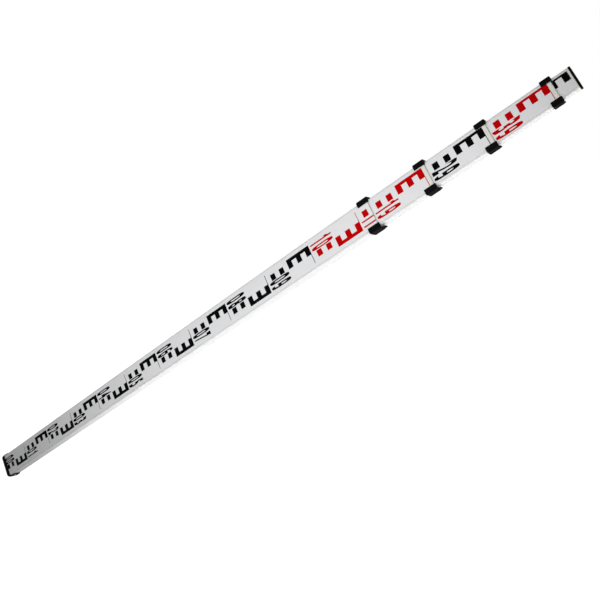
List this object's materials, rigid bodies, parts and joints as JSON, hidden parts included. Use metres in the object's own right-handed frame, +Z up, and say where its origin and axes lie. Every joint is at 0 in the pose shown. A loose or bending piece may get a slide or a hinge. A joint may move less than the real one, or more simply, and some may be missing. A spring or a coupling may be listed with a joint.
{
  "type": "telescopic levelling staff",
  "caption": "Closed telescopic surveying staff of nested rectangular tubes with side latches, a foot shoe, a top cap and slides that extend it upwards.",
  "frame": {"origin": "centre of the foot's flat underside, the zero of the graduation", "axes": "+Z up the staff, -Y out of the graduated front face, +X towards the latch levers"},
  "size_m": [0.0567, 0.03, 1.4758],
  "materials": {
    "aluminium": "ivory-white anodised",
    "black_plastic": "moulded, fine grain",
    "nylon": "plain moulded nylon",
    "steel": "plain ground"
  },
  "bodies": {
    "section_1": {"foot_shoe": "black_plastic", "foot_rivets": "steel", "section_1_tube": "aluminium", "guide_block_1": "black_plastic", "latch_housing_1": "black_plastic", "latch_pin_1": "steel", "latch_spring_1": "steel", "mouth_bush_1": "nylon", "clip_rivets_1": "steel"},
    "section_2": {"section_2_tube": "aluminium", "guide_block_2": "black_plastic", "latch_housing_2": "black_plastic", "latch_pin_2": "steel", "latch_spring_2": "steel", "mouth_bush_2": "nylon", "clip_rivets_2": "steel", "end_plug_2": "nylon", "plug_rivets_2": "steel"},
    "section_3": {"section_3_tube": "aluminium", "guide_block_3": "black_plastic", "latch_housing_3": "black_plastic", "latch_pin_3": "steel", "latch_spring_3": "steel", "mouth_bush_3": "nylon", "clip_rivets_3": "steel", "end_plug_3": "nylon", "plug_rivets_3": "steel"},
    "section_4": {"section_4_tube": "aluminium", "guide_block_4": "black_plastic", "latch_housing_4": "black_plastic", "latch_pin_4": "steel", "latch_spring_4": "steel", "mouth_bush_4": "nylon", "clip_rivets_4": "steel", "end_plug_4": "nylon", "plug_rivets_4": "steel"},
    "section_5": {"section_5_tube": "aluminium", "end_plug_5": "nylon", "plug_rivets_5": "steel", "top_cap": "black_plastic", "cap_rivets": "steel"},
    "lever_1": {"latch_lever_1": "black_plastic", "lock_peg_1": "steel"},
    "lever_2": {"latch_lever_2": "black_plastic", "lock_peg_2": "steel"},
    "lever_3": {"latch_lever_3": "black_plastic", "lock_peg_3": "steel"},
    "lever_4": {"latch_lever_4": "black_plastic", "lock_peg_4": "steel"}
  },
  "joints": [
    {"name": "section_2_slide", "type": "slide", "parent": "section_1", "child": "section_2", "axis": [0, 0, 1], "range_m": [0, 0.7738]},
    {"name": "section_3_slide", "type": "slide", "parent": "section_2", "child": "section_3", "axis": [0, 0, 1], "range_m": [0, 0.8941]},
    {"name": "section_4_slide", "type": "slide", "parent": "section_3", "child": "section_4", "axis": [0, 0, 1], "range_m": [0, 0.8941]},
    {"name": "section_5_slide", "type": "slide", "parent": "section_4", "child": "section_5", "axis": [0, 0, 1], "range_m": [0, 0.9688]},
    {"name": "lever_1_hinge", "type": "hinge", "parent": "section_1", "child": "lever_1", "pos_m": [0.0266, 0, 1.1137], "axis": [0, 1, 0], "range_deg": [0, 15], "stiffness_Nm_per_rad": 0.12, "springref_deg": -20.05, "deforming": ["latch_spring_1"]},
    {"name": "lever_2_hinge", "type": "hinge", "parent": "section_2", "child": "lever_2", "pos_m": [0.02457, 0, 1.2209], "axis": [0, 1, 0], "range_deg": [0, 15], "stiffness_Nm_per_rad": 0.12, "springref_deg": -20.05, "deforming": ["latch_spring_2"]},
    {"name": "lever_3_hinge", "type": "hinge", "parent": "section_3", "child": "lever_3", "pos_m": [0.02255, 0, 1.3281], "axis": [0, 1, 0], "range_deg": [0, 15], "stiffness_Nm_per_rad": 0.12, "springref_deg": -20.05, "deforming": ["latch_spring_3"]},
    {"name": "lever_4_hinge", "type": "hinge", "parent": "section_4", "child": "lever_4", "pos_m": [0.02053, 0, 1.4353], "axis": [0, 1, 0], "range_deg": [0, 15], "stiffness_Nm_per_rad": 0.12, "springref_deg": -20.05, "deforming": ["latch_spring_4"]}
  ]
}
